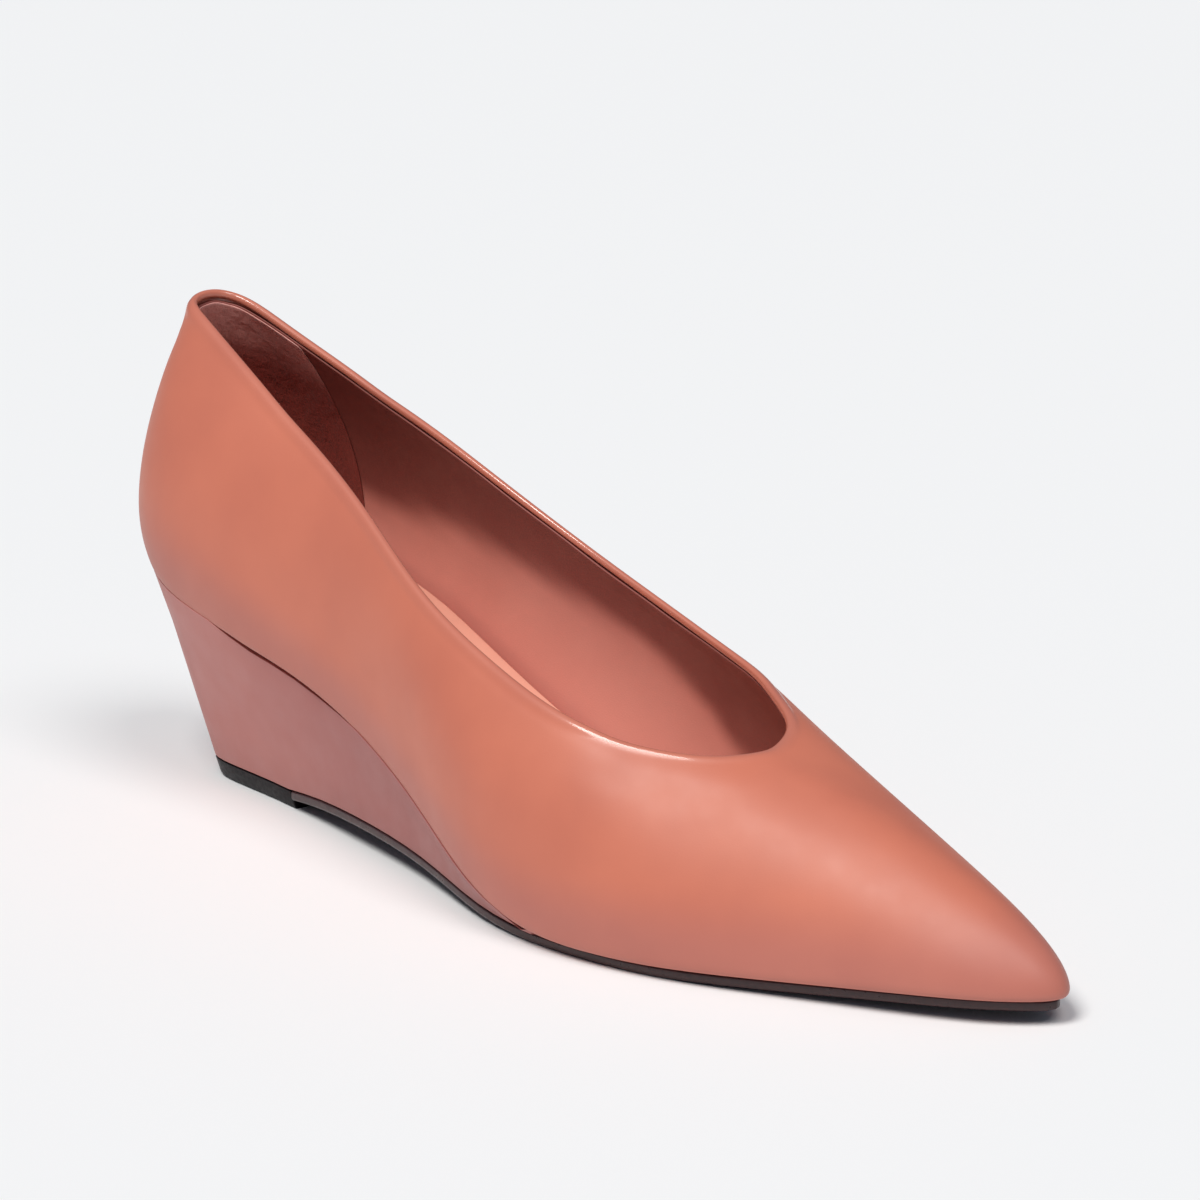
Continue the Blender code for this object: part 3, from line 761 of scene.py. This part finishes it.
def sole_edge():
    """Stained and burnished edge of the sole's leather."""
    material, tree, shader = new_material("sole leather, stained edge", (0.03, 0.012, 0.014), 0.3)
    streaks = noise(tree, 900.0, 4.0)
    tones = two_tones(tree, streaks, (0.024, 0.008, 0.009), (0.060, 0.021, 0.022))
    tree.links.new(tones, shader.inputs["Base Color"])
    gloss = between(tree, noise(tree, 700.0), low=0.26, high=0.42)
    tree.links.new(gloss, shader.inputs["Roughness"])
    scratches = bump(tree, noise(tree, 1500.0), strength=0.20, distance=0.00004)
    tree.links.new(scratches, shader.inputs["Normal"])
    return material


def heel_rubber():
    """Black rubber of the top piece."""
    material, tree, shader = new_material("heel rubber", (0.014, 0.011, 0.013), 0.45)
    tones = two_tones(tree, noise(tree, 600.0), (0.003, 0.002, 0.003), (0.008, 0.005, 0.007))
    tree.links.new(tones, shader.inputs["Base Color"])
    gloss = between(tree, noise(tree, 1200.0), low=0.36, high=0.55)
    tree.links.new(gloss, shader.inputs["Roughness"])
    pits = bump(tree, noise(tree, 2600.0), strength=0.3, distance=0.00008)
    tree.links.new(pits, shader.inputs["Normal"])
    shader.inputs["Specular IOR Level"].default_value = 0.2
    return material


def studio_floor():
    """A pale floor that reaches past the view."""
    bm = bmesh.new()
    bmesh.ops.create_grid(bm, x_segments=1, y_segments=1, size=FLOOR_REACH)
    mesh = bpy.data.meshes.new("studio_floor")
    bm.to_mesh(mesh)
    bm.free()
    floor = bpy.data.objects.new("studio_floor", mesh)
    bpy.context.scene.collection.objects.link(floor)
    material, _, shader = new_material("pale floor", FLOOR_COLOUR, 0.70)
    shader.inputs["Specular IOR Level"].default_value = 0.12
    mesh.materials.append(material)


def soft_sun(name, azimuth, elevation, angle, strength, colour):
    """A wide soft light that falls evenly on the whole floor."""
    light = bpy.data.lights.new(name, "SUN")
    light.energy = strength
    light.angle = math.radians(angle)
    light.color = colour
    lamp = bpy.data.objects.new(name, light)
    turn, lift = math.radians(azimuth), math.radians(elevation)
    towards = Vector((math.sin(turn) * math.cos(lift), -math.cos(turn) * math.cos(lift), math.sin(lift)))
    lamp.rotation_mode = "QUATERNION"
    lamp.rotation_quaternion = towards.to_track_quat("Z", "Y")
    lamp.location = towards
    bpy.context.scene.collection.objects.link(lamp)


def studio_light():
    """The room's even light, and the soft lights over the shoe."""
    world = bpy.data.worlds.new("studio")
    world.use_nodes = True
    sky = world.node_tree.nodes["Background"]
    sky.inputs["Color"].default_value = (*ROOM_COLOUR, 1.0)
    sky.inputs["Strength"].default_value = ROOM_STRENGTH
    bpy.context.scene.world = world
    for light in LIGHTS:
        soft_sun(*light)
    view = bpy.context.scene.view_settings
    view.view_transform = "Standard"
    view.look = "None"


def studio_camera():
    """The camera at the photograph's angle."""
    lens = bpy.data.cameras.new("camera")
    lens.lens = CAMERA_LENS
    lens.sensor_width = CAMERA_SENSOR
    lens.clip_start = CAMERA_NEAR
    lens.clip_end = CAMERA_FAR
    camera = bpy.data.objects.new("camera", lens)
    level = math.cos(CAMERA_ELEVATION)
    back = Vector((math.sin(CAMERA_AZIMUTH) * level, -math.cos(CAMERA_AZIMUTH) * level,
                   math.sin(CAMERA_ELEVATION)))
    camera.location = CAMERA_AIM + back * CAMERA_DISTANCE
    camera.rotation_mode = "QUATERNION"
    camera.rotation_quaternion = (-back).to_track_quat("-Z", "Y")
    bpy.context.scene.collection.objects.link(camera)
    bpy.context.scene.camera = camera


def main():
    """Dress the shoe, then light it."""
    studio_camera()
    make_upper(upper_leather())
    make_lining(lining_leather())
    make_heel_grip(grip_suede())
    make_sock(sock_leather())
    make_wedge(wedge_leather())
    make_plate("outsole", "outsole_edge", SOLE_EDGE, sole_edge())
    make_plate("top_piece", "heel_top_piece", TOP_PIECE_EDGE, heel_rubber())
    studio_floor()
    studio_light()


main()
